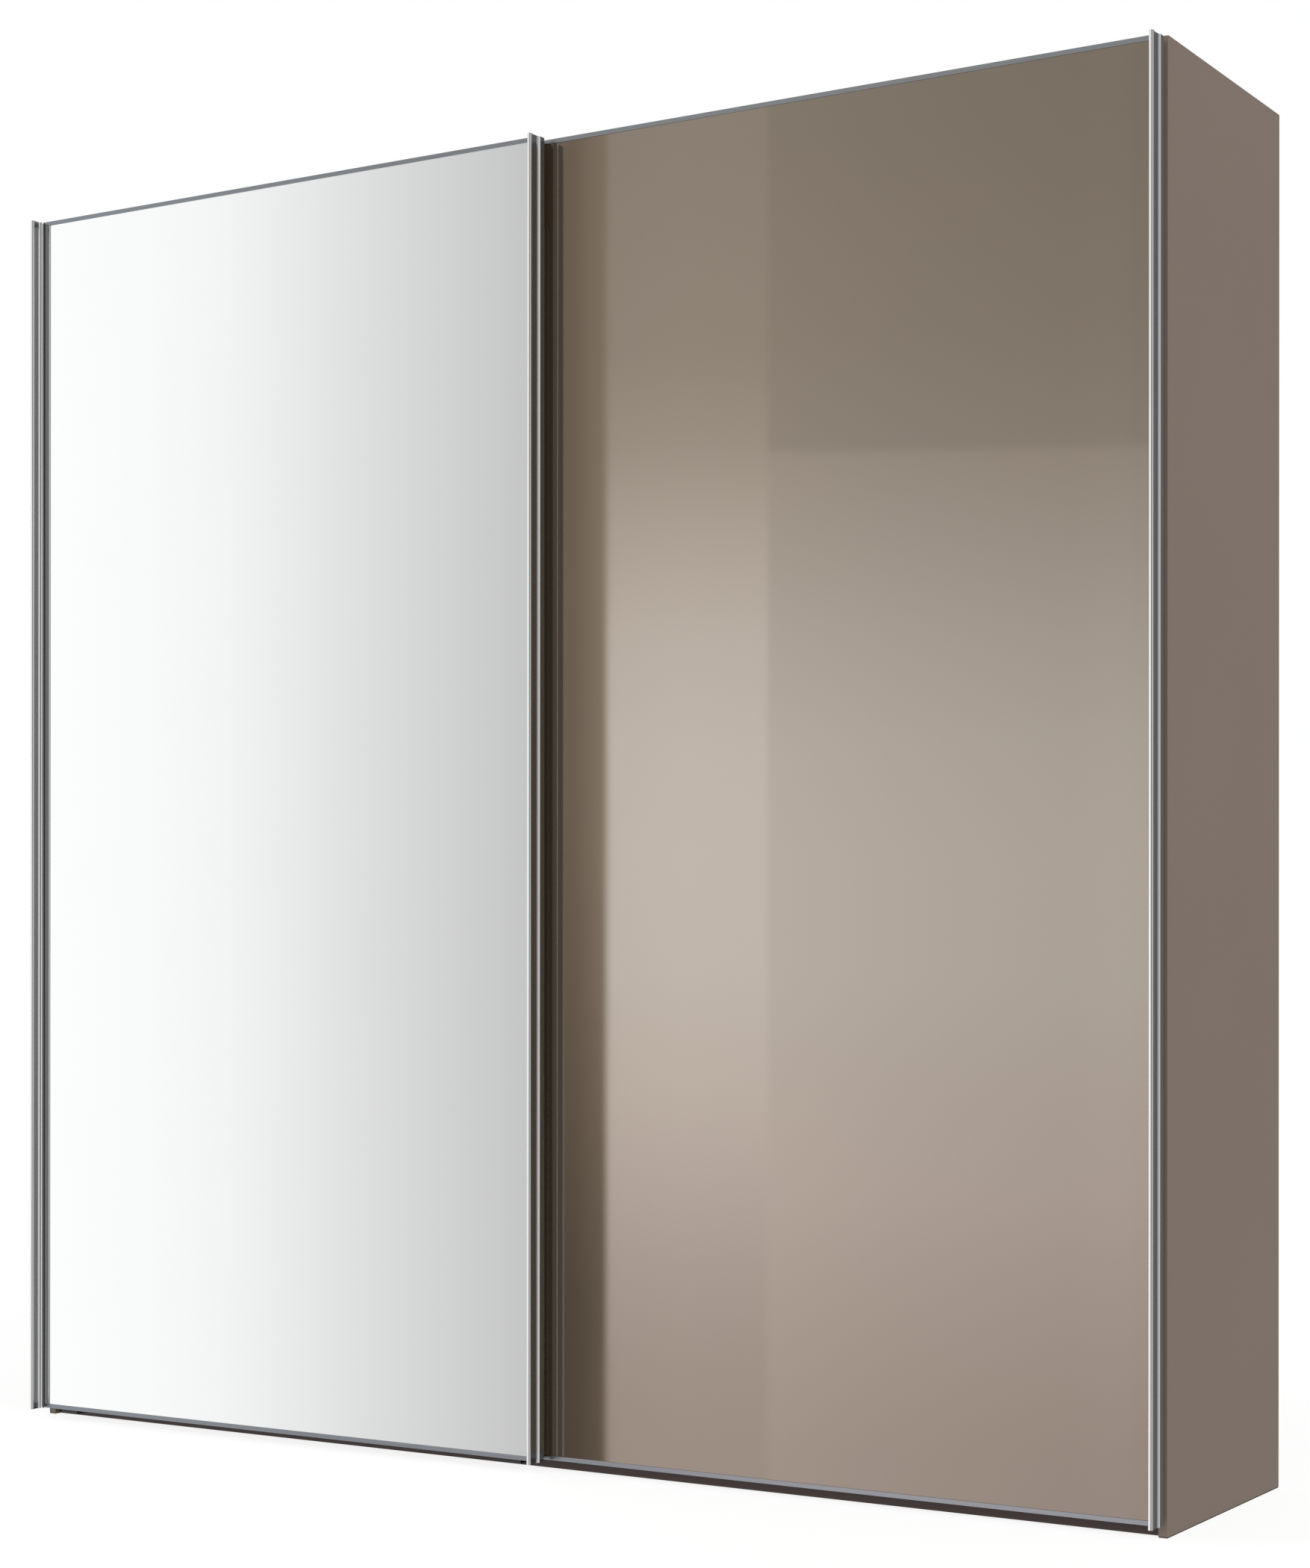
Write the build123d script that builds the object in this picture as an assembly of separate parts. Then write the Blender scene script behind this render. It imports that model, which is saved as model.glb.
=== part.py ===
"""Two-door sliding wardrobe: a panel carcass with two doors that hang in front of it.

Millimetres. +X is to the right, +Y to the back, +Z up. The origin is on the floor, at the middle of
the footprint. Depths named "behind the front" are measured back from the carcass's front plane.
"""

import math
import os

from build123d import *

# ---- carcass ----
WIDTH = 2400.0
HEIGHT = 2400.0
CARCASS_DEPTH = 522.0
BOARD = 16.0
FLOOR_GAP = 2.0              # the base strips under the side panels
BACK_PLANE = 514.0           # rear edge of the inner boards, behind the front
BACK_BOARD = 3.0
REBATE = 8.0                 # side panels' rebate for the back panels
BOTTOM_PANEL_Z = 60.0
TOP_PANEL_Z = 2330.0
PARTITION_SETBACK = 14.0
ARRIS = 1.0                  # rounding of the visible board edges

# ---- plinth and feet ----
PLINTH_SETBACK = 12.0
PLINTH_GAP = 0.5
STRIP_INSET = 0.5
STRIP_ROUND = 0.4
REAR_PLINTH_Y = 480.0
FOOT_X = 1140.0
FOOT_Y = (110.0, 420.0)
FOOT_RADIUS = 16.0
FOOT_DISC = 5.0
FOOT_CHAMFER = 1.5
STEM_RADIUS = 5.0
STEM_TOP = 70.0
KEY_RADIUS = 3.0             # the hexagon socket in a stem's top
KEY_DEPTH = 5.0

# ---- inside ----
SHELF_Z = 2000.0
SHELF_Y = (20.0, 505.0)
PIN_Y = (80.0, 440.0)
PIN_RADIUS = 2.5
PIN_IN = 7.0
PIN_OUT = 10.0
RAIL_Z = 1940.0
RAIL_Y = 255.0
RAIL_TALL = 30.0
RAIL_WIDE = 15.0
RAIL_WALL = 1.5
SOCKET_PLATE = 2.0
SOCKET_COLLAR = 12.0
SOCKET_TALL = 56.0
SOCKET_SCREW = 22.5          # above and below the rail's axis
COLLAR_MARGIN = 4.0
PLATE_MARGIN = 9.0
SHELF_PLAY = 0.5
RAIL_PLAY = 0.2

# ---- fittings in the boards ----
FITTING_Y = (60.0, 260.0, 460.0)
CAM_RADIUS = 7.5
CAM_DEPTH = 12.5
CAM_INSET = 34.0
BOLT_RADIUS = 3.5
BOLT_IN_SIDE = 10.0
DOWEL_RADIUS = 4.0
DOWEL_LENGTH = 30.0
DOWEL_IN_PANEL = 11.0
CAM_CROSS = (9.0, 1.4, 3.0)  # the driver's slot: long, wide, twice its depth
SLACK = 0.1                  # radial room round a fixed fitting
BACK_OVERLAP = 0.5           # how far a back panel stays inside its rebate
BACK_JOINT = 0.25            # half the gap between the two back panels

# ---- doors ----
DOOR_WIDTH = 1209.0
FRONT_DOOR_X = -1180.5       # left edge of each door, shut
REAR_DOOR_X = -13.5
FRONT_DOOR_FACE = 55.0       # how far the rails' faces stand in front of the carcass
REAR_DOOR_FACE = 25.0
DOOR_TOP = 2397.0
RAIL_BOTTOM = 22.0
HANDLE_BOTTOM = 20.5
DOOR_THICK = 17.0
RAIL_LIP = 8.0
LIP_THICK = 1.2
WEB = 2.0
PANE_THICK = 4.0
PANE_RECESS = 1.3
HANDLE_WEB = 3.0
HANDLE_LIP = 16.0
HANDLE_LIP_FRONT = 1.7       # how far the lip's inner edge stands in front of the rails' face
NOSE_OUT = 26.0
NOSE_RADIUS = 4.2            # the round bead along the grip's front
NOSE_MIDDLE = 5.5            # in from the door's edge
NECK = (3.2, 7.8)            # the slimmer part behind the bead, in from the edge
OUTER_HOLLOW = (-4.0, 6.0)   # where the outer hollow starts and ends, forward of the face
INNER_HOLLOW = 6.8           # radius
PANE_PLAY = 0.2              # round the pane, and between the profiles
LIP_ROUND = 0.4
TRAVEL = 1120.0

# ---- running track, hangers and wheels ----
TRACK_Y = (6.0, 66.0)
TRACK_BASE = 2.5
TRACK_LIP = 8.0
TRACK_WALL = 1.5
TRACK_PLAY = 0.5             # at each end of both tracks
REAR_LANE = 20.0             # the rear door runs in the lane next to the doors
FRONT_LANE = 50.0
BEAD_RADIUS = 2.5
WHEEL_GAP = 0.3
WHEEL_TREAD = 11.0
WHEEL_RADIUS = 14.0
WHEEL_WIDTH = 10.0
AXLE_RADIUS = 3.0
AXLE_RUN = 0.05
HANGER_INSET = 150.0
HANGER_WIDTH = 90.0
CARRIER_WIDTH = 60.0
HANGER_STEEL = 2.5
ARM_STEEL = 2.0
HANGER_FOOT = 2270.0
CARRIER_FOOT = 2352.0
REAR_ARM_TOP = 2384.0
FRONT_ARM_TOP = 2400.0
HANGER_CORNER = 4.0
HANGER_SCREW_X = 32.0
HANGER_SCREW_Z = (2292.0, 2345.0)
CARRIER_GAP = 3.5            # from the wheel to the flange that holds its axle
RIVET_ROOM = 0.02
AXLE_HEAD = (5.5, 2.0)       # radius, thickness
AXLE_COLLAR = 5.0
AXLE_HEAD_GAP = 1.0
AXLE_COLLAR_GAP = 0.4
STOP_LENGTH = 20.0
STOP_TALL = 26.0
STOP_SIDE = (9.0, 12.0)      # ahead of and behind its lane
STOP_CORNER = 2.0
STOP_GAP = 1.0

# ---- bottom guide ----
GUIDE_TOP_PLATE = 2.0
GUIDE_FRONT = -1.5
GUIDE_REAR = 42.0
GUIDE_FOOT = 38.0
GUIDE_WALL = 1.5
GROOVE = 4.5
GUIDE_INSET = 70.0
GUIDE_WIDTH = 40.0
GUIDE_STEEL = 1.5
TONGUE_TOP = 50.0
SLIDER = (40.0, 55.0)
SLIDER_THICK = 3.7
SLIDER_LENGTH = 40.0
SLIDER_CORNER = 1.0
TONGUE_WIDTH = 30.0
TONGUE_PLAY = 0.05
GUIDE_PLATE_TOP = 70.0
GUIDE_SCREW_X = 12.0
GUIDE_SCREW_Z = 54.0
REAR_GUIDE_Z = 16.0
FRONT_GUIDE_Z = 12.0         # passes under the rear door and its guides

# ---- brush seals down the backs of the doors' right edges ----
BRUSH_X = (9.0, 4.0)         # in from the edge
BRUSH_HOLDER = 1.5
BRUSH_RIM = 1.0
BRUSH_ROOT = 1.0
BRUSH_THIN = 1.5
BRUSH_Z = (30.0, 2240.0)
BRUSH_END = 2.0
FRONT_BRUSH_GAP = 0.8        # from the tips to the rear door's edge profile
REAR_BRUSH_GAP = 1.0         # from the tips to the guide track's front

# ---- wall brackets ----
WALL_BRACKET_X = (-900.0, 900.0)
WALL_BRACKET_HALF = 15.0
WALL_BRACKET_FRONT = 486.0
WALL_BRACKET_TOP = 2390.0
WALL_BRACKET_SCREW_X = 8.0
WALL_BRACKET_SCREW_Y = 498.0
WALL_STEEL = 2.0
WALL_LEG = (519.5, 521.5)
WALL_HOLE_Z = 2375.0
WALL_HOLE_RADIUS = 3.0

# ---- screws ----
SCREW_HEAD_RADIUS = 3.6
SCREW_HEAD = 2.0
SCREW_RADIUS = 1.9
SCREW_CROSS = (3.6, 0.9, 1.6)
HEAD_ROUND = 0.8
CARCASS_SCREW = 7.0
DOOR_SCREW = 11.0
BACK_SCREW_RADIUS = 1.4
BACK_SCREW_HEAD = 3.0
BACK_SCREW = 12.0
BACK_SCREW_X = (110.0, 400.0, 750.0, 1100.0)
BACK_SCREW_MIDDLE = 4.0
BACK_SCREW_MIDDLE_Z = (320.0, 880.0, 1440.0, 2180.0)
TRACK_SCREW_SPAN = 2200.0
TRACK_SCREWS = 8
TRACK_SCREW_Y = 35.0
GUIDE_TRACK_SCREW_X = (-1050.0, -640.0, -220.0, 220.0, 640.0, 1050.0)
GUIDE_TRACK_SCREW_Y = 35.0

# ---- derived ----
FRONT = -(CARCASS_DEPTH - FRONT_DOOR_FACE - NOSE_OUT) / 2
HALF = WIDTH / 2
INNER = HALF - BOARD
HALF_BOARD = BOARD / 2
BOTTOM_PANEL_TOP = BOTTOM_PANEL_Z + BOARD
TOP_PANEL_TOP = TOP_PANEL_Z + BOARD
TRACK_FLOOR = TOP_PANEL_TOP + TRACK_BASE
BEAD_AXIS_Z = TRACK_FLOOR + BEAD_RADIUS
WHEEL_Z = BEAD_AXIS_Z + BEAD_RADIUS + WHEEL_GAP + WHEEL_TREAD


def block(x, y, z):
    """A box from three (low, high) pairs. y is behind the carcass's front plane."""
    size = Box(x[1] - x[0], y[1] - y[0], z[1] - z[0])
    return Pos((x[0] + x[1]) / 2, FRONT + (y[0] + y[1]) / 2, (z[0] + z[1]) / 2) * size


def rod_x(x, y, z, radius):
    """A round bar along X from x[0] to x[1]."""
    bar = Rot(0, 90, 0) * Cylinder(radius, x[1] - x[0])
    return Pos((x[0] + x[1]) / 2, FRONT + y, z) * bar


def rod_y(x, y, z, radius):
    """A round bar along Y from y[0] to y[1]."""
    bar = Rot(90, 0, 0) * Cylinder(radius, y[1] - y[0])
    return Pos(x, FRONT + (y[0] + y[1]) / 2, z) * bar


def rod_z(x, y, z, radius):
    """A round bar along Z from z[0] to z[1]."""
    return Pos(x, FRONT + y, (z[0] + z[1]) / 2) * Cylinder(radius, z[1] - z[0])


def group(solids):
    """Identical pieces that share one node, as separate solids."""
    return Compound(children=[s.solid() if hasattr(s, "solid") else s for s in solids])


def rounded(part, axis, radius=ARRIS):
    """The board with its four edges along one axis rounded."""
    return fillet(part.edges().filter_by(axis), radius)


def cross(long, wide, deep):
    """A driver's cross, centred on its origin."""
    return Box(long, wide, deep) + Box(wide, long, deep)


def screw(x, y, z, towards, length, radius=SCREW_RADIUS, head_radius=SCREW_HEAD_RADIUS):
    """A pan-head screw. (x, y, z) is the middle of the face that its head sits on."""
    head = Pos(0, 0, -SCREW_HEAD / 2) * Cylinder(head_radius, SCREW_HEAD)
    top_edge = head.edges().group_by(Axis.Z)[0]
    head = fillet(top_edge, HEAD_ROUND)
    recess = Pos(0, 0, -SCREW_HEAD) * cross(*SCREW_CROSS)
    shank = Pos(0, 0, length / 2) * Cylinder(radius, length)
    turn = {
        "+X": Rot(0, 90, 0), "-X": Rot(0, -90, 0), "+Y": Rot(-90, 0, 0),
        "-Y": Rot(90, 0, 0), "+Z": Rot(0, 0, 0), "-Z": Rot(180, 0, 0),
    }[towards]
    return Pos(x, FRONT + y, z) * turn * (head + shank - recess)


# ---------------------------------------------------------------- places shared by several pieces

def fitting_ends():
    """(side, y, panel bottom z) of every cam joint between a side panel and a level panel."""
    return [
        (side, y, z)
        for side in (-1, 1)
        for y in FITTING_Y
        for z in (BOTTOM_PANEL_Z, TOP_PANEL_Z)
    ]


def compartments():
    """(low x, high x) of the two compartments."""
    return [(-INNER, -HALF_BOARD), (HALF_BOARD, INNER)]


def socket_walls():
    """(wall x, direction into the compartment) of every wall that holds a rail socket."""
    return [(wall, sign) for low, high in compartments() for wall, sign in ((low, 1), (high, -1))]


def track_screw_xs():
    """Where the running track is screwed to the top panel."""
    pitch = TRACK_SCREW_SPAN / (TRACK_SCREWS - 1)
    return [-TRACK_SCREW_SPAN / 2 + pitch * i for i in range(TRACK_SCREWS)]


def wall_bracket_screws():
    """(x, y) of the screws that hold the wall brackets down."""
    return [
        (x + side * WALL_BRACKET_SCREW_X, WALL_BRACKET_SCREW_Y)
        for x in WALL_BRACKET_X
        for side in (-1, 1)
    ]


def back_screws():
    """(x, z) of the screws that hold the back panels."""
    along = [side * x for side in (-1, 1) for x in BACK_SCREW_X]
    edges = [(x, z + HALF_BOARD) for x in along for z in (BOTTOM_PANEL_Z, TOP_PANEL_Z)]
    middle = [(side * BACK_SCREW_MIDDLE, z) for side in (-1, 1) for z in BACK_SCREW_MIDDLE_Z]
    return edges + middle


# ---------------------------------------------------------------- carcass

def side_panel(side):
    """A full-height side panel with a rebate for the back panel and its drilled holes."""
    inner, outer = side * INNER, side * HALF
    x = (min(inner, outer), max(inner, outer))
    panel = rounded(block(x, (0, CARCASS_DEPTH), (FLOOR_GAP, HEIGHT)), Axis.Z)
    notch = (min(inner, inner + side * REBATE), max(inner, inner + side * REBATE))
    panel -= block(notch, (BACK_PLANE, CARCASS_DEPTH), (0, HEIGHT + 1))
    for bolt_side, y, z in fitting_ends():
        if bolt_side == side:
            ends = sorted((inner, inner + side * (BOLT_IN_SIDE + SLACK)))
            panel -= rod_x(ends, y, z + HALF_BOARD, BOLT_RADIUS + SLACK)
    panel -= pin_holes(inner, side)
    panel -= socket_screw_holes(inner, side)
    return panel


def pin_holes(wall, into):
    """Blind holes for the shelf pins in a wall; into is the direction into the board."""
    ends = sorted((wall, wall + into * (PIN_IN + SLACK)))
    return [rod_x(ends, y, SHELF_Z - PIN_RADIUS, PIN_RADIUS + SLACK) for y in PIN_Y]


def socket_screw_holes(wall, into):
    """Blind holes for the rail sockets' screws in a wall."""
    ends = sorted((wall, wall + into * CARCASS_SCREW))
    radius = SCREW_RADIUS + SLACK
    return [rod_x(ends, RAIL_Y, RAIL_Z + dz, radius) for dz in (-SOCKET_SCREW, SOCKET_SCREW)]


def centre_partition():
    """The upright between the two compartments."""
    height = (BOTTOM_PANEL_TOP, TOP_PANEL_Z)
    panel = block((-HALF_BOARD, HALF_BOARD), (PARTITION_SETBACK, BACK_PLANE), height)
    panel = rounded(panel, Axis.Z)
    for wall, into in ((-HALF_BOARD, 1), (HALF_BOARD, -1)):
        panel -= pin_holes(wall, into)
        panel -= socket_screw_holes(wall, into)
    in_board = DOWEL_LENGTH - DOWEL_IN_PANEL + SLACK
    for y in FITTING_Y:
        panel -= rod_z(0, y, (TOP_PANEL_Z - in_board, TOP_PANEL_Z), DOWEL_RADIUS + SLACK)
        panel -= rod_z(0, y, (BOTTOM_PANEL_TOP, BOTTOM_PANEL_TOP + in_board), DOWEL_RADIUS + SLACK)
    for x, z in back_screws():
        if abs(x) < HALF_BOARD:
            panel -= back_screw_hole(x, z)
    return panel


def back_screw_hole(x, z):
    """A pilot hole in a rear edge for a back panel screw."""
    return rod_y(x, (BACK_PLANE - BACK_SCREW, BACK_PLANE), z, BACK_SCREW_RADIUS + SLACK)


def level_panel(z, dowel_face):
    """The top or bottom panel, drilled for cams, bolts, dowels and back screws."""
    panel = rounded(block((-INNER, INNER), (0, BACK_PLANE), (z, z + BOARD)), Axis.X)
    for side, y, base in fitting_ends():
        if base != z:
            continue
        cam_x = side * (INNER - CAM_INSET)
        panel -= rod_z(cam_x, y, (z, z + CAM_DEPTH + SLACK), CAM_RADIUS + SLACK)
        panel -= rod_x(sorted((cam_x, side * INNER)), y, z + HALF_BOARD, BOLT_RADIUS + SLACK)
    depth = DOWEL_IN_PANEL + SLACK
    hole = (z + BOARD - depth, z + BOARD) if dowel_face == "top" else (z, z + depth)
    for y in FITTING_Y:
        panel -= rod_z(0, y, hole, DOWEL_RADIUS + SLACK)
    for x, screw_z in back_screws():
        if z < screw_z < z + BOARD:
            panel -= back_screw_hole(x, screw_z)
    return panel


def bottom_panel():
    """The bottom panel, with the bores that the levelling feet turn in."""
    panel = level_panel(BOTTOM_PANEL_Z, "top")
    for x in (-FOOT_X, FOOT_X):
        for y in FOOT_Y:
            panel -= rod_z(x, y, (BOTTOM_PANEL_Z, BOTTOM_PANEL_TOP), STEM_RADIUS + AXLE_RUN)
    for x in GUIDE_TRACK_SCREW_X:
        hole = (BOTTOM_PANEL_Z, BOTTOM_PANEL_Z + CARCASS_SCREW)
        panel -= rod_z(x, GUIDE_TRACK_SCREW_Y, hole, SCREW_RADIUS + SLACK)
    return panel


def top_panel():
    """The top panel, which carries the running track."""
    panel = level_panel(TOP_PANEL_Z, "bottom")
    hole = (TOP_PANEL_TOP - CARCASS_SCREW, TOP_PANEL_TOP)
    for x in track_screw_xs():
        panel -= rod_z(x, TRACK_SCREW_Y, hole, SCREW_RADIUS + SLACK)
    for x, y in wall_bracket_screws():
        panel -= rod_z(x, y, hole, SCREW_RADIUS + SLACK)
    return panel


def back_panel(side):
    """A thin back sheet behind one compartment."""
    edge = side * (INNER + REBATE - BACK_OVERLAP)
    x = sorted((side * BACK_JOINT, edge))
    sheet = block(x, (BACK_PLANE, BACK_PLANE + BACK_BOARD), (BOTTOM_PANEL_Z, TOP_PANEL_TOP))
    for screw_x, z in back_screws():
        if screw_x * side > 0:
            through = (BACK_PLANE, BACK_PLANE + BACK_BOARD)
            sheet -= rod_y(screw_x, through, z, BACK_SCREW_RADIUS + SLACK)
    return sheet


def front_plinth():
    """The dark strip under the doors."""
    y = (PLINTH_SETBACK, PLINTH_SETBACK + BOARD)
    top = BOTTOM_PANEL_Z - GUIDE_TOP_PLATE
    return rounded(block((-INNER, INNER), y, (PLINTH_GAP, top)), Axis.X)


def rear_plinth():
    """The board that carries the rear of the bottom panel."""
    y = (REAR_PLINTH_Y, REAR_PLINTH_Y + BOARD)
    return block((-INNER, INNER), y, (PLINTH_GAP, BOTTOM_PANEL_Z))


def centre_support():
    """The upright board under the partition, which stands on the floor."""
    return block((-HALF_BOARD, HALF_BOARD), (GUIDE_REAR, REAR_PLINTH_Y), (0, BOTTOM_PANEL_Z))


def base_strip(side):
    """The plastic strip that a side panel stands on."""
    x = sorted((side * (INNER + STRIP_INSET), side * (HALF - STRIP_INSET)))
    y = (STRIP_INSET, CARCASS_DEPTH - STRIP_INSET)
    return rounded(block(x, y, (0, FLOOR_GAP)), Axis.Z, STRIP_ROUND)


def levelling_foot(x, y):
    """A foot with a threaded stem, turned from inside the wardrobe with a hexagon key."""
    disc = rod_z(x, y, (0, FOOT_DISC), FOOT_RADIUS)
    disc = chamfer(disc.edges().group_by(Axis.Z)[-1], FOOT_CHAMFER)
    stem = rod_z(x, y, (FOOT_DISC, STEM_TOP), STEM_RADIUS)
    socket = extrude(RegularPolygon(KEY_RADIUS, 6), KEY_DEPTH)
    return disc + stem - Pos(x, FRONT + y, STEM_TOP - KEY_DEPTH) * socket


# ---------------------------------------------------------------- inside

def shelf(low, high):
    """A loose shelf on four pins."""
    panel = block((low + SHELF_PLAY, high - SHELF_PLAY), SHELF_Y, (SHELF_Z, SHELF_Z + BOARD))
    return rounded(panel, Axis.X)


def shelf_pins():
    """The steel pins that the shelves rest on."""
    pins = []
    for wall, sign in socket_walls():
        ends = sorted((wall - sign * PIN_IN, wall + sign * PIN_OUT))
        pins += [rod_x(ends, y, SHELF_Z - PIN_RADIUS, PIN_RADIUS) for y in PIN_Y]
    return group(pins)


def oval(tall, wide):
    """The rail's rounded section, upright, in the YZ plane."""
    return Plane.YZ * SlotOverall(tall, wide, rotation=90)


def oval_bar(x, tall, wide):
    """A straight bar of the rail's section along X."""
    bar = extrude(oval(tall, wide), x[1] - x[0])
    return Pos(x[0], FRONT + RAIL_Y, RAIL_Z) * bar


def clothes_rail(low, high):
    """An oval tube between its two sockets."""
    inset = SOCKET_PLATE + RAIL_PLAY
    x = (low + inset, high - inset)
    tube = oval_bar(x, RAIL_TALL, RAIL_WIDE)
    return tube - oval_bar(x, RAIL_TALL - 2 * RAIL_WALL, RAIL_WIDE - 2 * RAIL_WALL)


def clothes_rail_sockets():
    """The four cups that hold the rails' ends."""
    sockets = []
    for wall, sign in socket_walls():
        plate_x = sorted((wall, wall + sign * SOCKET_PLATE))
        collar_x = sorted((wall + sign * SOCKET_PLATE, wall + sign * SOCKET_COLLAR))
        plate = oval_bar(plate_x, SOCKET_TALL, RAIL_WIDE + PLATE_MARGIN)
        collar = oval_bar(collar_x, RAIL_TALL + COLLAR_MARGIN, RAIL_WIDE + COLLAR_MARGIN)
        collar -= oval_bar(collar_x, RAIL_TALL + 2 * SLACK, RAIL_WIDE + 2 * SLACK)
        piece = plate + collar
        for dz in (-SOCKET_SCREW, SOCKET_SCREW):
            piece -= rod_x(plate_x, RAIL_Y, RAIL_Z + dz, SCREW_RADIUS + SLACK)
        sockets.append(piece)
    return group(sockets)


# ---------------------------------------------------------------- fittings

def cam_locks():
    """The round cams in the undersides of the level panels."""
    cams = []
    for side, y, z in fitting_ends():
        x = side * (INNER - CAM_INSET)
        cam = rod_z(x, y, (z, z + CAM_DEPTH), CAM_RADIUS)
        cams.append(cam - Pos(x, FRONT + y, z) * cross(*CAM_CROSS))
    return group(cams)


def cam_bolts():
    """The bolts that the cams pull on."""
    bolts = []
    for side, y, z in fitting_ends():
        reach = side * (INNER - CAM_INSET + CAM_RADIUS + SLACK)
        ends = sorted((side * (INNER + BOLT_IN_SIDE), reach))
        bolts.append(rod_x(ends, y, z + HALF_BOARD, BOLT_RADIUS))
    return group(bolts)


def dowels():
    """The dowels that locate the partition."""
    pegs = []
    for y in FITTING_Y:
        low = BOTTOM_PANEL_TOP - DOWEL_IN_PANEL
        high = TOP_PANEL_Z + DOWEL_IN_PANEL
        pegs.append(rod_z(0, y, (low, low + DOWEL_LENGTH), DOWEL_RADIUS))
        pegs.append(rod_z(0, y, (high - DOWEL_LENGTH, high), DOWEL_RADIUS))
    return group(pegs)


def wall_brackets():
    """Two steel angles that tie the wardrobe's top to the wall behind it."""
    brackets = []
    level_z = (TOP_PANEL_TOP, TOP_PANEL_TOP + WALL_STEEL)
    for x in WALL_BRACKET_X:
        width = (x - WALL_BRACKET_HALF, x + WALL_BRACKET_HALF)
        level = block(width, (WALL_BRACKET_FRONT, WALL_LEG[1]), level_z)
        upright = block(width, WALL_LEG, (TOP_PANEL_TOP, WALL_BRACKET_TOP))
        angle = level + upright
        angle -= rod_y(x, WALL_LEG, WALL_HOLE_Z, WALL_HOLE_RADIUS)
        for dx in (-WALL_BRACKET_SCREW_X, WALL_BRACKET_SCREW_X):
            angle -= rod_z(x + dx, WALL_BRACKET_SCREW_Y, level_z, SCREW_RADIUS + SLACK)
        brackets.append(angle)
    return group(brackets)


def carcass_screws():
    """The short screws in the tracks, the rail sockets and the wall brackets."""
    reach = CARCASS_SCREW
    screws = [screw(x, TRACK_SCREW_Y, TRACK_FLOOR, "-Z", reach) for x in track_screw_xs()]
    plate = BOTTOM_PANEL_Z - GUIDE_TOP_PLATE
    screws += [screw(x, GUIDE_TRACK_SCREW_Y, plate, "+Z", reach) for x in GUIDE_TRACK_SCREW_X]
    screws += [screw(x, y, TOP_PANEL_TOP + WALL_STEEL, "-Z", reach) for x, y in wall_bracket_screws()]
    for wall, sign in socket_walls():
        for dz in (-SOCKET_SCREW, SOCKET_SCREW):
            towards = "-X" if sign > 0 else "+X"
            seat = wall + sign * SOCKET_PLATE
            screws.append(screw(seat, RAIL_Y, RAIL_Z + dz, towards, reach))
    return group(screws)


def back_panel_screws():
    """The small screws that hold the back panels."""
    plane = BACK_PLANE + BACK_BOARD
    return group([
        screw(x, plane, z, "-Y", BACK_SCREW, BACK_SCREW_RADIUS, BACK_SCREW_HEAD)
        for x, z in back_screws()
    ])


# ---------------------------------------------------------------- tracks

def running_track():
    """The aluminium track on the top panel: two lanes, each with a round bead to run on."""
    x = (-INNER + TRACK_PLAY, INNER - TRACK_PLAY)
    track = block(x, TRACK_Y, (TOP_PANEL_TOP, TRACK_FLOOR))
    lip_z = (TOP_PANEL_TOP, TOP_PANEL_TOP + TRACK_LIP)
    track += block(x, (TRACK_Y[0], TRACK_Y[0] + TRACK_WALL), lip_z)
    track += block(x, (TRACK_Y[1] - TRACK_WALL, TRACK_Y[1]), lip_z)
    for lane in (REAR_LANE, FRONT_LANE):
        side = (lane - BEAD_RADIUS, lane + BEAD_RADIUS)
        track += block(x, side, (TOP_PANEL_TOP, BEAD_AXIS_Z))
        track += rod_x(x, lane, BEAD_AXIS_Z, BEAD_RADIUS)
    for screw_x in track_screw_xs():
        hole = (TOP_PANEL_TOP, TRACK_FLOOR)
        track -= rod_z(screw_x, TRACK_SCREW_Y, hole, SCREW_RADIUS + SLACK)
    return track


def hanger_xs(door_x):
    """Where a door's two hangers are, with the door shut."""
    return (door_x + HANGER_INSET, door_x + DOOR_WIDTH - HANGER_INSET)


def guide_xs(door_x):
    """Where a door's two bottom guides are, with the door shut."""
    return (door_x + GUIDE_INSET, door_x + DOOR_WIDTH - GUIDE_INSET)


def track_end_stops():
    """The rubber-faced blocks that end each door's travel."""
    reach = CARRIER_WIDTH / 2 + STOP_GAP
    front_left, front_right = hanger_xs(FRONT_DOOR_X)
    rear_left, rear_right = hanger_xs(REAR_DOOR_X)
    places = [
        (front_left - reach - STOP_LENGTH, FRONT_LANE),
        (front_right + TRAVEL + reach, FRONT_LANE),
        (rear_left - TRAVEL - reach - STOP_LENGTH, REAR_LANE),
        (rear_right + reach, REAR_LANE),
    ]
    stops = []
    for x, lane in places:
        span = (x, x + STOP_LENGTH)
        y = (lane - STOP_SIDE[0], lane + STOP_SIDE[1])
        stop = block(span, y, (TRACK_FLOOR, TRACK_FLOOR + STOP_TALL))
        stop = rounded(stop, Axis.Z, STOP_CORNER)
        slot = BEAD_RADIUS + SLACK
        stop -= block(span, (lane - slot, lane + slot), (TRACK_FLOOR, BEAD_AXIS_Z))
        stop -= rod_x(span, lane, BEAD_AXIS_Z, slot)
        stops.append(stop)
    return group(stops)


def guide_groove(door):
    """The middle of a door's groove in the guide track, behind the front."""
    first = GUIDE_FRONT + GUIDE_WALL + GROOVE / 2
    return first if door == "rear" else first + GROOVE + GUIDE_WALL


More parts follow.
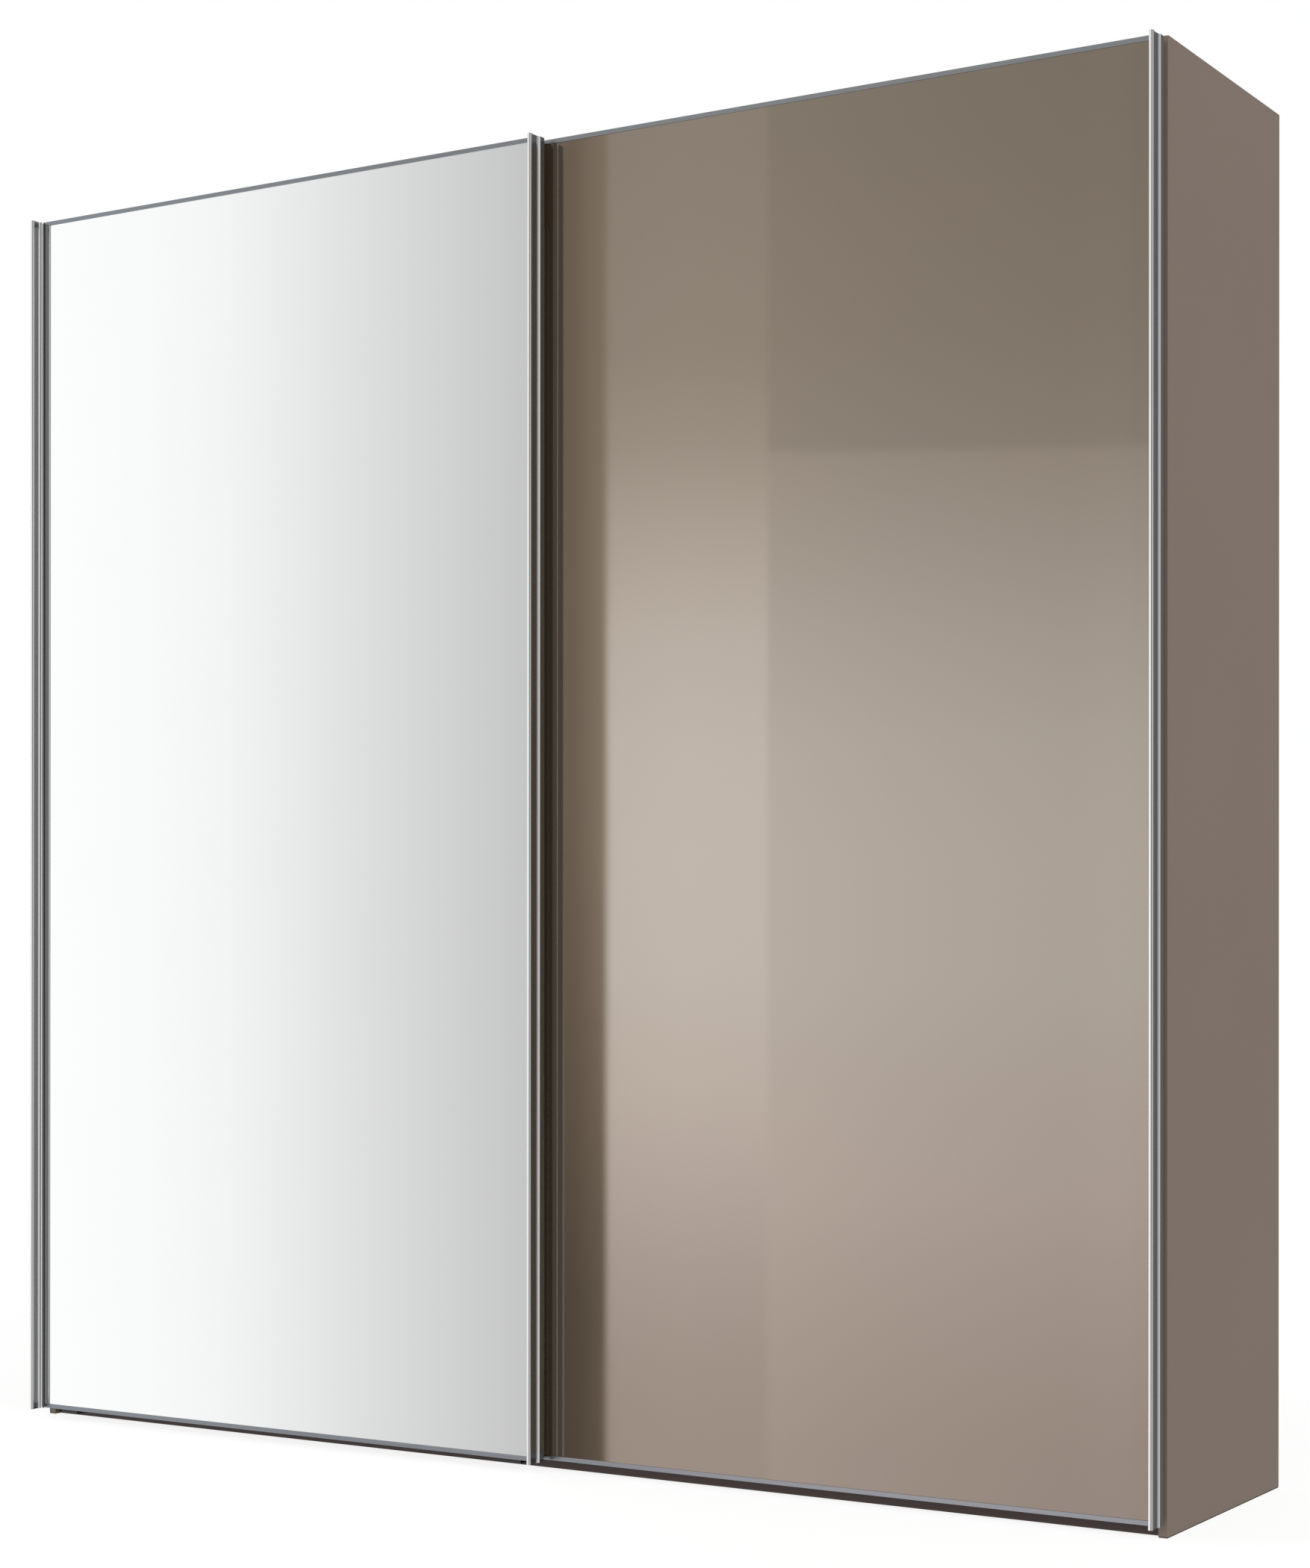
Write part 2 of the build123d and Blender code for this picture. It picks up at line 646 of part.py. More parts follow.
def guide_track():
    """The dark profile under the bottom panel: two grooves that open downwards."""
    x = (-INNER + TRACK_PLAY, INNER - TRACK_PLAY)
    plate_z = (BOTTOM_PANEL_Z - GUIDE_TOP_PLATE, BOTTOM_PANEL_Z)
    track = block(x, (GUIDE_FRONT, GUIDE_REAR), plate_z)
    for i in range(3):
        wall = GUIDE_FRONT + i * (GROOVE + GUIDE_WALL)
        track += block(x, (wall, wall + GUIDE_WALL), (GUIDE_FOOT, BOTTOM_PANEL_Z))
    for screw_x in GUIDE_TRACK_SCREW_X:
        track -= rod_z(screw_x, GUIDE_TRACK_SCREW_Y, plate_z, SCREW_RADIUS + SLACK)
    return track


# ---------------------------------------------------------------- doors

def section(points, x_edge, inward, face, z):
    """A profile extruded upwards. Each point is (inward from the edge, forward of the face).

    A point list entry with two points is an arc, through the first to the second.
    """
    def place(p):
        return (x_edge + inward * p[0], FRONT - face - p[1])

    edges = []
    here = points[0]
    for step in points[1:] + [points[0]]:
        if isinstance(step[0], tuple):
            edges.append(ThreePointArc(place(here), place(step[0]), place(step[1])))
            here = step[1]
        else:
            edges.append(Line(place(here), place(step)))
            here = step
    return Pos(0, 0, z[0]) * extrude(make_face(edges), z[1] - z[0], dir=(0, 0, 1))


def handle(x_edge, inward, face):
    """A full-height grip: a round bead on a slim neck, hollowed out on both sides towards its base."""
    outer, inner = NECK
    bead = NOSE_OUT - NOSE_RADIUS
    behind = bead - math.sqrt(NOSE_RADIUS**2 - (NOSE_MIDDLE - outer) ** 2)
    low, high = OUTER_HOLLOW
    reach = (outer**2 + (high - low) ** 2) / (2 * outer)
    half_turn = math.asin((high - low) / reach) / 2
    outer_hollow = (outer - reach * (1 - math.cos(half_turn)), high - reach * math.sin(half_turn))
    bend = INNER_HOLLOW * math.sqrt(0.5)
    hollow = (inner + INNER_HOLLOW, HANDLE_LIP_FRONT + INNER_HOLLOW)
    points = [
        (0.0, -DOOR_THICK),
        (0.0, low),
        (outer_hollow, (outer, high)),
        (outer, behind),
        ((NOSE_MIDDLE, NOSE_OUT), (inner, behind)),
        (inner, hollow[1]),
        ((hollow[0] - bend, hollow[1] - bend), (hollow[0], HANDLE_LIP_FRONT)),
        (HANDLE_LIP - 0.3, HANDLE_LIP_FRONT),
        (HANDLE_LIP, HANDLE_LIP_FRONT - 0.3),
        (HANDLE_LIP, -LIP_THICK),
        (HANDLE_WEB, -LIP_THICK),
        (HANDLE_WEB, -DOOR_THICK),
    ]
    return section(points, x_edge, inward, face, (HANDLE_BOTTOM, DOOR_TOP))


def flat_profile(x_edge, inward, face):
    """The rear door's hidden edge profile, low enough to pass behind the front door."""
    points = [
        (0.0, -DOOR_THICK),
        (0.0, 0.4),
        (0.8, LIP_THICK),
        (HANDLE_LIP - 0.8, LIP_THICK),
        (HANDLE_LIP, 0.4),
        (HANDLE_LIP, -LIP_THICK),
        (HANDLE_WEB, -LIP_THICK),
        (HANDLE_WEB, -DOOR_THICK),
    ]
    return section(points, x_edge, inward, face, (HANDLE_BOTTOM, DOOR_TOP))


def rail_span(door_x):
    """(low x, high x) of the rails between a door's two edge profiles."""
    inset = HANDLE_LIP + PANE_PLAY
    return (door_x + inset, door_x + DOOR_WIDTH - inset)


def rail(door_x, face, edge_z, inward):
    """The top or bottom rail of a door: a front lip and a web over the panel's edge."""
    x = rail_span(door_x)
    lip_z = sorted((edge_z, edge_z + inward * RAIL_LIP))
    lip = rounded(block(x, (-face, -face + LIP_THICK), lip_z), Axis.X, LIP_ROUND)
    web_z = sorted((edge_z, edge_z + inward * WEB))
    return lip + block(x, (-face + LIP_THICK / 2, -face + DOOR_THICK), web_z)


def door_sheet(door_x, face, depth):
    """A door-sized sheet between two depths behind the rails' face."""
    inset = HANDLE_WEB + PANE_PLAY
    x = (door_x + inset, door_x + DOOR_WIDTH - inset)
    z = (RAIL_BOTTOM + WEB + PANE_PLAY, DOOR_TOP - WEB - PANE_PLAY)
    return block(x, (-face + depth[0], -face + depth[1]), z)


def pane(door_x, face):
    """The mirror or the lacquered glass on the door's front."""
    return door_sheet(door_x, face, (PANE_RECESS, PANE_RECESS + PANE_THICK))


def hanger_screws(door_x):
    """(x, z) of the screws that hold a door's hangers."""
    sides = (-HANGER_SCREW_X, HANGER_SCREW_X)
    return [(x + dx, z) for x in hanger_xs(door_x) for dx in sides for z in HANGER_SCREW_Z]


def guide_screws(door_x):
    """(x, z) of the screws that hold a door's bottom guides."""
    sides = (-GUIDE_SCREW_X, GUIDE_SCREW_X)
    return [(x + dx, GUIDE_SCREW_Z) for x in guide_xs(door_x) for dx in sides]


def door_board(door_x, face):
    """The backing board that the pane is glued to."""
    board = door_sheet(door_x, face, (PANE_RECESS + PANE_THICK, DOOR_THICK))
    back = -face + DOOR_THICK
    for places, steel in ((hanger_screws(door_x), HANGER_STEEL), (guide_screws(door_x), GUIDE_STEEL)):
        for x, z in places:
            depth = (back - DOOR_SCREW + steel - SLACK, back)
            board -= rod_y(x, depth, z, SCREW_RADIUS + SLACK)
    return board


def door_screws(door_x, face):
    """The screws in a door's hangers and bottom guides."""
    back = -face + DOOR_THICK
    screws = [screw(x, back + HANGER_STEEL, z, "-Y", DOOR_SCREW) for x, z in hanger_screws(door_x)]
    screws += [screw(x, back + GUIDE_STEEL, z, "-Y", DOOR_SCREW) for x, z in guide_screws(door_x)]
    return group(screws)


def hangers(door_x, face, lane, arm_top, arm_steel):
    """Two bent steel plates that carry a door on its wheels."""
    back = -face + DOOR_THICK
    carrier = carrier_y(lane)
    plates = []
    for x in hanger_xs(door_x):
        wide = (x - HANGER_WIDTH / 2, x + HANGER_WIDTH / 2)
        narrow = (x - CARRIER_WIDTH / 2, x + CARRIER_WIDTH / 2)
        plate = block(wide, (back, back + HANGER_STEEL), (HANGER_FOOT, arm_top))
        plate = rounded(plate, Axis.Y, HANGER_CORNER)
        arm = block(narrow, (back, carrier[1]), (arm_top - arm_steel, arm_top))
        flange = rounded(block(narrow, carrier, (CARRIER_FOOT, arm_top)), Axis.Y, HANGER_CORNER)
        piece = plate + arm + flange
        piece -= rod_y(x, carrier, WHEEL_Z, AXLE_RADIUS + RIVET_ROOM)
        for screw_x, z in hanger_screws(door_x):
            if abs(screw_x - x) < HANGER_WIDTH:
                piece -= rod_y(screw_x, (back, back + HANGER_STEEL), z, SCREW_RADIUS + SLACK)
        plates.append(piece)
    return group(plates)


def carrier_y(lane):
    """(front, rear) of a hanger's flange that holds the axle."""
    front = lane + WHEEL_WIDTH / 2 + CARRIER_GAP
    return (front, front + HANGER_STEEL)


def axles(door_x, lane):
    """The riveted pins that the wheels turn on."""
    carrier = carrier_y(lane)
    head_back = lane - WHEEL_WIDTH / 2 - AXLE_HEAD_GAP
    collar_front = lane + WHEEL_WIDTH / 2 + AXLE_COLLAR_GAP
    pins = []
    for x in hanger_xs(door_x):
        head = rod_y(x, (head_back - AXLE_HEAD[1], head_back), WHEEL_Z, AXLE_HEAD[0])
        shaft = rod_y(x, (head_back, carrier[1]), WHEEL_Z, AXLE_RADIUS)
        collar = rod_y(x, (collar_front, carrier[0]), WHEEL_Z, AXLE_COLLAR)
        pins.append(head + shaft + collar)
    return group(pins)


def wheel(x, lane):
    """A nylon wheel with a round groove that straddles the bead."""
    half = WHEEL_WIDTH / 2
    groove = BEAD_RADIUS + WHEEL_GAP
    bore = AXLE_RADIUS + AXLE_RUN
    outline = Polyline(
        (bore, -half), (WHEEL_RADIUS - 1, -half), (WHEEL_RADIUS, -half + 1), (WHEEL_RADIUS, half - 1),
        (WHEEL_RADIUS - 1, half), (bore, half), close=True,
    )
    ring = revolve(Plane.XZ * make_face(outline), Axis.Z)
    ring -= Torus(WHEEL_TREAD + groove, groove)
    channel = Cylinder(WHEEL_RADIUS + 1, 2 * groove) - Cylinder(WHEEL_TREAD + groove, 2 * groove)
    ring -= channel
    return Pos(x, FRONT + lane, WHEEL_Z) * Rot(90, 0, 0) * ring


def guides(door_x, face, groove_y, foot_z):
    """Two bent steel brackets that reach under a door, back and up into the guide track."""
    back = -face + DOOR_THICK
    tongue_y = (groove_y - GUIDE_STEEL / 2, groove_y + GUIDE_STEEL / 2)
    half_tongue = TONGUE_WIDTH / 2
    brackets = []
    for x in guide_xs(door_x):
        wide = (x - GUIDE_WIDTH / 2, x + GUIDE_WIDTH / 2)
        plate = block(wide, (back, back + GUIDE_STEEL), (foot_z, GUIDE_PLATE_TOP))
        foot = block(wide, (back, tongue_y[1]), (foot_z, foot_z + GUIDE_STEEL))
        tongue = block((x - half_tongue, x + half_tongue), tongue_y, (foot_z, TONGUE_TOP))
        piece = plate + foot + tongue
        for screw_x, z in guide_screws(door_x):
            if abs(screw_x - x) < GUIDE_WIDTH:
                piece -= rod_y(screw_x, (back, back + GUIDE_STEEL), z, SCREW_RADIUS + SLACK)
        brackets.append(piece)
    return group(brackets)


def sliders(door_x, groove_y):
    """The plastic shoes on the guides' tongues."""
    half = SLIDER_THICK / 2
    slot = GUIDE_STEEL / 2 + TONGUE_PLAY
    reach = SLIDER_LENGTH / 2
    slot_reach = TONGUE_WIDTH / 2 + SLACK
    slot_y = (groove_y - slot, groove_y + slot)
    shoes = []
    for x in guide_xs(door_x):
        shoe = block((x - reach, x + reach), (groove_y - half, groove_y + half), SLIDER)
        shoe = rounded(shoe, Axis.Z, SLIDER_CORNER)
        shoe -= block((x - slot_reach, x + slot_reach), slot_y, (SLIDER[0], TONGUE_TOP))
        shoes.append(shoe)
    return group(shoes)


def brush(x_edge, face, tip):
    """A brush seal down the back of a door's right edge; tip is behind the front."""
    back = -face + DOOR_THICK
    x = (x_edge - BRUSH_X[0], x_edge - BRUSH_X[1])
    holder = block((x[0] - BRUSH_RIM, x[1] + BRUSH_RIM), (back, back + BRUSH_HOLDER), BRUSH_Z)
    bristle_x = (x[0] + BRUSH_THIN, x[1] - BRUSH_THIN)
    bristle_z = (BRUSH_Z[0] + BRUSH_END, BRUSH_Z[1] - BRUSH_END)
    bristles = block(bristle_x, (back + BRUSH_ROOT, tip), bristle_z)
    return holder + bristles


def door(name, door_x, face, lane, arm_top, arm_steel, groove_y, guide_z, brush_tip):
    """Every piece of one door, by node name."""
    right = door_x + DOOR_WIDTH
    left_wheel_x, right_wheel_x = hanger_xs(door_x)
    return {
        f"{name}_board": door_board(door_x, face),
        f"{name}_right_handle": handle(right, -1, face),
        f"{name}_top_rail": rail(door_x, face, DOOR_TOP, -1),
        f"{name}_bottom_rail": rail(door_x, face, RAIL_BOTTOM, 1),
        f"{name}_hangers": hangers(door_x, face, lane, arm_top, arm_steel),
        f"{name}_axles": axles(door_x, lane),
        f"{name}_left_wheel": wheel(left_wheel_x, lane),
        f"{name}_right_wheel": wheel(right_wheel_x, lane),
        f"{name}_guides": guides(door_x, face, groove_y, guide_z),
        f"{name}_sliders": sliders(door_x, groove_y),
        f"{name}_brush": brush(right, face, brush_tip),
        f"{name}_screws": door_screws(door_x, face),
    }


def carcass():
    """Every fixed piece, by node name."""
    left, right = compartments()
    return {
        "left_side_panel": side_panel(-1),
        "right_side_panel": side_panel(1),
        "centre_partition": centre_partition(),
        "top_panel": top_panel(),
        "bottom_panel": bottom_panel(),
        "left_back_panel": back_panel(-1),
        "right_back_panel": back_panel(1),
        "front_plinth": front_plinth(),
        "rear_plinth": rear_plinth(),
        "centre_support": centre_support(),
        "left_base_strip": base_strip(-1),
        "right_base_strip": base_strip(1),
        "left_shelf": shelf(*left),
        "right_shelf": shelf(*right),
        "shelf_pins": shelf_pins(),
        "left_clothes_rail": clothes_rail(*left),
        "right_clothes_rail": clothes_rail(*right),
        "clothes_rail_sockets": clothes_rail_sockets(),
        "cam_locks": cam_locks(),
        "cam_bolts": cam_bolts(),
        "dowels": dowels(),
        "wall_brackets": wall_brackets(),
        "carcass_screws": carcass_screws(),
        "back_panel_screws": back_panel_screws(),
        "running_track": running_track(),
        "track_end_stops": track_end_stops(),
        "guide_track": guide_track(),
    }


def feet():
    """The four levelling feet, by node name."""
    places = {"left": -FOOT_X, "right": FOOT_X}
    rows = {"front": FOOT_Y[0], "rear": FOOT_Y[1]}
    return {f"{r}_{s}_foot": levelling_foot(x, y) for r, y in rows.items() for s, x in places.items()}


def main():
    """Writes one STEP file for each node."""
    nodes = carcass() | feet()
    nodes |= door(
        "front_door", FRONT_DOOR_X, FRONT_DOOR_FACE, FRONT_LANE, FRONT_ARM_TOP, ARM_STEEL,
        guide_groove("front"), FRONT_GUIDE_Z, -REAR_DOOR_FACE - LIP_THICK - FRONT_BRUSH_GAP,
    )
    nodes["front_door_left_handle"] = handle(FRONT_DOOR_X, 1, FRONT_DOOR_FACE)
    nodes["front_door_mirror"] = pane(FRONT_DOOR_X, FRONT_DOOR_FACE)
    nodes |= door(
        "rear_door", REAR_DOOR_X, REAR_DOOR_FACE, REAR_LANE, REAR_ARM_TOP, HANGER_STEEL,
        guide_groove("rear"), REAR_GUIDE_Z, GUIDE_FRONT - REAR_BRUSH_GAP,
    )
    nodes["rear_door_left_profile"] = flat_profile(REAR_DOOR_X, 1, REAR_DOOR_FACE)
    nodes["rear_door_glass"] = pane(REAR_DOOR_X, REAR_DOOR_FACE)

    os.makedirs("parts", exist_ok=True)
    for name, part in nodes.items():
        export_step(part, f"parts/{name}.step")
    print(len(nodes), "nodes")


main()
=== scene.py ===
"""Looks for the sliding-door wardrobe: materials, seals and brushes, studio and camera."""

import math
import random

import bmesh
import bpy
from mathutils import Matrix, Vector


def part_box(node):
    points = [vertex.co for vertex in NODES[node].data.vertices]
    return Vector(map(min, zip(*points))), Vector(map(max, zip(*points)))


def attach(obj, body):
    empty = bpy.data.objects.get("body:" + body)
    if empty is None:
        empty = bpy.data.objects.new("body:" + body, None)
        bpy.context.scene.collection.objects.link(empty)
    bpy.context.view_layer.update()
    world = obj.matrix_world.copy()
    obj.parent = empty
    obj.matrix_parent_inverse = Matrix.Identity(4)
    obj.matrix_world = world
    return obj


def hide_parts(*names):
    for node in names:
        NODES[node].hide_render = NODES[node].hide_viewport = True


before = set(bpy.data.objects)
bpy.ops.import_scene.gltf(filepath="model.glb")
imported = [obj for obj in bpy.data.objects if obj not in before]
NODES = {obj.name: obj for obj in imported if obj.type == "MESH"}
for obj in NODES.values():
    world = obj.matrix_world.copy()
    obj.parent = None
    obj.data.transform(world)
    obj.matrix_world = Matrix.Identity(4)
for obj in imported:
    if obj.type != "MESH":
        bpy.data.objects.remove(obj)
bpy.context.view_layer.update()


# ---------------------------------------------------------------- node helpers

def linear(r, g, b):
    """A screen colour, 0 to 255, as the linear colour that a shader takes."""
    def one(v):
        v /= 255
        return v / 12.92 if v <= 0.04045 else ((v + 0.055) / 1.055) ** 2.4

    return (one(r), one(g), one(b), 1.0)


def scaled(colour, k):
    """The colour, lighter or darker."""
    return tuple(c * k for c in colour[:3]) + (1.0,)


class Nodes:
    """Builds one node tree."""

    def __init__(self, tree):
        self.tree = tree
        tree.nodes.clear()

    def add(self, kind, **settings):
        node = self.tree.nodes.new(kind)
        for key, value in settings.items():
            setattr(node, key, value)
        return node

    def put(self, socket, value):
        """Links an output to the socket, or sets a constant on it."""
        if isinstance(value, bpy.types.NodeSocket):
            self.tree.links.new(value, socket)
        else:
            socket.default_value = value

    def calc(self, operation, *values):
        node = self.add("ShaderNodeMath", operation=operation)
        for socket, value in zip(node.inputs, values):
            self.put(socket, value)
        return node.outputs[0]

    def axes(self, vector):
        node = self.add("ShaderNodeSeparateXYZ")
        self.put(node.inputs[0], vector)
        return node.outputs

    def stretched(self, vector, scale):
        node = self.add("ShaderNodeMapping")
        self.put(node.inputs["Vector"], vector)
        node.inputs["Scale"].default_value = scale
        return node.outputs[0]

    def noise(self, vector, scale, detail=2.0, roughness=0.5):
        node = self.add("ShaderNodeTexNoise")
        self.put(node.inputs["Vector"], vector)
        node.inputs["Scale"].default_value = scale
        node.inputs["Detail"].default_value = detail
        node.inputs["Roughness"].default_value = roughness
        return node.outputs["Fac"]

    def cells(self, vector, scale):
        node = self.add("ShaderNodeTexVoronoi")
        self.put(node.inputs["Vector"], vector)
        node.inputs["Scale"].default_value = scale
        return node.outputs["Distance"]

    def ramp(self, fac, stops):
        node = self.add("ShaderNodeValToRGB")
        self.put(node.inputs[0], fac)
        band = node.color_ramp
        while len(band.elements) < len(stops):
            band.elements.new(0.5)
        for element, (place, value) in zip(band.elements, sorted(stops, key=lambda s: s[0])):
            element.position = place
            element.color = value if isinstance(value, tuple) else (value, value, value, 1)
        return node.outputs[0]

    def span(self, value, low, high, to_low=0.0, to_high=1.0):
        node = self.add("ShaderNodeMapRange")
        for socket, v in zip(node.inputs, (value, low, high, to_low, to_high)):
            self.put(socket, v)
        return node.outputs[0]

    def mix(self, fac, a, b, blend="MIX"):
        node = self.add("ShaderNodeMix", data_type="RGBA", blend_type=blend)
        self.put(node.inputs["Factor"], fac)
        self.put(node.inputs[6], a)
        self.put(node.inputs[7], b)
        return node.outputs[2]

    def bump(self, height, distance, strength=1.0):
        node = self.add("ShaderNodeBump")
        self.put(node.inputs["Height"], height)
        node.inputs["Distance"].default_value = distance
        node.inputs["Strength"].default_value = strength
        return node.outputs[0]


class Finish(Nodes):
    """A material with one Principled shader; place is the position on the unmoved object, in metres."""

    def __init__(self, name, **constants):
        self.material = bpy.data.materials.new(name)
        self.material.use_nodes = True
        super().__init__(self.material.node_tree)
        self.shader = self.add("ShaderNodeBsdfPrincipled")
        out = self.add("ShaderNodeOutputMaterial")
        self.put(out.inputs[0], self.shader.outputs[0])
        self.place = self.add("ShaderNodeTexCoord").outputs["Object"]
        for key, value in constants.items():
            self.shader.inputs[key.replace("_", " ")].default_value = value

    def set(self, **sockets):
        for key, value in sockets.items():
            self.put(self.shader.inputs[key.replace("_", " ")], value)
        return self.material


# ---------------------------------------------------------------- finishes

def smooth_melamine(name, colour, gloss=0.46):
    """Fine pearl-textured board: a faint cloud in the colour and a close pebbled surface."""
    f = Finish(name)
    cloud = f.noise(f.place, 2.2, 3.0)
    pearl = f.noise(f.place, 620.0, 2.0, 0.6)
    tone = f.ramp(cloud, [(0.3, scaled(colour, 0.985)), (0.7, scaled(colour, 1.015))])
    speck = f.ramp(pearl, [(0.35, 0.955), (0.65, 1.03)])
    f.set(
        Base_Color=f.mix(1.0, tone, speck, "MULTIPLY"),
        Roughness=f.span(pearl, 0.3, 0.7, gloss - 0.05, gloss + 0.07),
        Normal=f.bump(pearl, 0.00012, 0.5),
    )
    return f.material


def linen_melamine(name, colour, along):
    """Woven-look board: two sets of threads, the main one along the given axis."""
    f = Finish(name)
    fine, slow = 1500.0, 26.0
    main = [fine, fine, fine]
    main["XYZ".index(along)] = slow
    cross = [fine * 0.8] * 3
    cross["XYZ".index("Y" if along != "Y" else "X")] = slow * 1.6
    warp = f.noise(f.stretched(f.place, main), 1.0, 1.0)
    weft = f.noise(f.stretched(f.place, cross), 1.0, 1.0)
    cloth = f.calc("ADD", f.calc("MULTIPLY", warp, 0.6), f.calc("MULTIPLY", weft, 0.4))
    cloud = f.noise(f.place, 1.7, 2.0)
    tone = f.ramp(cloth, [(0.34, scaled(colour, 0.80)), (0.5, colour), (0.66, scaled(colour, 1.12))])
    soft = f.ramp(cloud, [(0.3, 0.97), (0.7, 1.02)])
    f.set(
        Base_Color=f.mix(1.0, tone, soft, "MULTIPLY"),
        Roughness=f.span(cloth, 0.3, 0.7, 0.42, 0.58),
        Normal=f.bump(cloth, 0.00015, 0.5),
    )
    return f.material


def hardboard(name, coated, raw):
    """The thin back sheet: coated towards the inside, brown pressed fibres behind."""
    f = Finish(name)
    facing = f.axes(f.add("ShaderNodeNewGeometry").outputs["True Normal"])[1]
    behind = f.calc("GREATER_THAN", facing, 0.5)
    fibres = f.noise(f.stretched(f.place, (210.0, 210.0, 160.0)), 1.0, 5.0, 0.7)
    flecks = f.noise(f.stretched(f.place, (60.0, 60.0, 420.0)), 1.0, 3.0, 0.6)
    cloud = f.noise(f.place, 3.0, 3.0)
    brown = f.ramp(fibres, [(0.3, scaled(raw, 0.72)), (0.5, raw), (0.72, scaled(raw, 1.32))])
    brown = f.mix(1.0, brown, f.ramp(flecks, [(0.35, 0.86), (0.6, 1.06)]), "MULTIPLY")
    brown = f.mix(1.0, brown, f.ramp(cloud, [(0.3, 0.9), (0.7, 1.08)]), "MULTIPLY")
    paint = f.mix(1.0, coated, f.ramp(fibres, [(0.3, 0.95), (0.7, 1.03)]), "MULTIPLY")
    f.set(
        Base_Color=f.mix(behind, paint, brown),
        Roughness=f.span(behind, 0.0, 1.0, 0.5, 0.78),
        Normal=f.bump(fibres, 0.0003, 0.5),
    )
    return f.material


def metal(name, colour, roughness, along, lines=0.5, stretch=9.0):
    """Drawn or brushed metal: fine lines along one axis in tone, roughness and relief."""
    f = Finish(name, Metallic=1.0)
    scale = [1700.0, 1700.0, 1700.0]
    scale["XYZ".index(along)] = stretch
    streak = f.noise(f.stretched(f.place, scale), 1.0, 3.0, 0.6)
    wide = [240.0, 240.0, 240.0]
    wide["XYZ".index(along)] = 1.5
    band = f.noise(f.stretched(f.place, wide), 1.0, 2.0)
    low = 1.0 - 0.16 * lines
    tone = f.ramp(streak, [(0.3, scaled(colour, low)), (0.7, colour)])
    tone = f.mix(1.0, tone, f.ramp(band, [(0.3, 1.0 - 0.10 * lines), (0.7, 1.0)]), "MULTIPLY")
    f.set(
        Base_Color=tone,
        Roughness=f.span(streak, 0.25, 0.75, roughness - 0.05, roughness + 0.09),
        Normal=f.bump(streak, 0.00003, 0.4 * lines),
    )
    return f.material


def zinc(name, colour):
    """Bright zinc plate: small bluish clouds and fine spangle."""
    f = Finish(name, Metallic=1.0)
    spangle = f.cells(f.place, 420.0)
    cloud = f.noise(f.place, 45.0, 4.0, 0.6)
    tone = f.ramp(cloud, [(0.3, scaled(colour, 0.82)), (0.55, colour), (0.75, (0.66, 0.66, 0.60, 1))])
    tone = f.mix(1.0, tone, f.ramp(spangle, [(0.1, 0.93), (0.7, 1.0)]), "MULTIPLY")
    f.set(
        Base_Color=tone,
        Roughness=f.span(cloud, 0.25, 0.75, 0.24, 0.40),
        Normal=f.bump(cloud, 0.00005, 0.3),
    )
    return f.material


def moulded(name, colour, roughness=0.42):
    """Injection-moulded plastic: fine spark texture and a slight flow in the tone."""
    f = Finish(name)
    spark = f.noise(f.place, 1400.0, 2.0, 0.6)
    flow = f.noise(f.place, 30.0, 2.0)
    f.set(
        Base_Color=f.ramp(flow, [(0.3, scaled(colour, 0.92)), (0.7, scaled(colour, 1.06))]),
        Roughness=f.span(spark, 0.3, 0.7, roughness - 0.05, roughness + 0.08),
        Normal=f.bump(spark, 0.00006, 0.5),
    )
    return f.material


def beech(name, colour):
    """Plain turned beech, with grain along X and short flecks."""
    f = Finish(name)
    grain = f.noise(f.stretched(f.place, (700.0, 700.0, 60.0)), 1.0, 3.0)
    fleck = f.noise(f.stretched(f.place, (1800.0, 1800.0, 300.0)), 1.0, 1.0)
    tone = f.ramp(grain, [(0.3, scaled(colour, 0.8)), (0.7, scaled(colour, 1.1))])
    f.set(
        Base_Color=f.mix(1.0, tone, f.ramp(fleck, [(0.3, 0.85), (0.6, 1.0)]), "MULTIPLY"),
        Roughness=f.span(grain, 0.3, 0.7, 0.5, 0.65),
        Normal=f.bump(grain, 0.0001, 0.4),
    )
    return f.material


PANE_FACE = 0.0002            # what lies further back than this is the pane's edge


def edge_distance(f, low, high):
    """How far a point is from the nearest edge of an upright sheet, in metres."""
    x, _, z = f.axes(f.place)
    sides = [
        f.calc("SUBTRACT", x, low.x), f.calc("SUBTRACT", high.x, x),
        f.calc("SUBTRACT", z, low.z), f.calc("SUBTRACT", high.z, z),
    ]
    nearest = sides[0]
    for side in sides[1:]:
        nearest = f.calc("MINIMUM", nearest, side)
    return nearest


def silvered_mirror(name, node):
    """Clear float glass silvered behind: faintly cool, greener and duller in its last millimetres."""
    f = Finish(name, Metallic=1.0)
    low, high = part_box(node)
    edge = edge_distance(f, low, high)
    haze = f.noise(f.place, 5.0, 4.0, 0.6)
    y = f.axes(f.place)[1]
    deep = f.calc("GREATER_THAN", y, low.y + PANE_FACE)
    silver = f.ramp(haze, [(0.3, (0.945, 0.952, 0.950, 1)), (0.7, (0.955, 0.960, 0.958, 1))])
    rim = f.ramp(f.span(edge, 0.0, 0.02), [(0.0, (0.70, 0.80, 0.77, 1)), (0.3, (0.95, 0.957, 0.955, 1))])
    face = f.mix(1.0, silver, rim, "DARKEN")
    dull = f.calc("MAXIMUM", deep, f.span(haze, 0.5, 0.8, 0.0, 0.08))
    f.set(
        Base_Color=f.mix(deep, face, (0.10, 0.22, 0.18, 1)),
        Roughness=f.span(dull, 0.0, 1.0, 0.008, 0.10),
    )
    return f.material


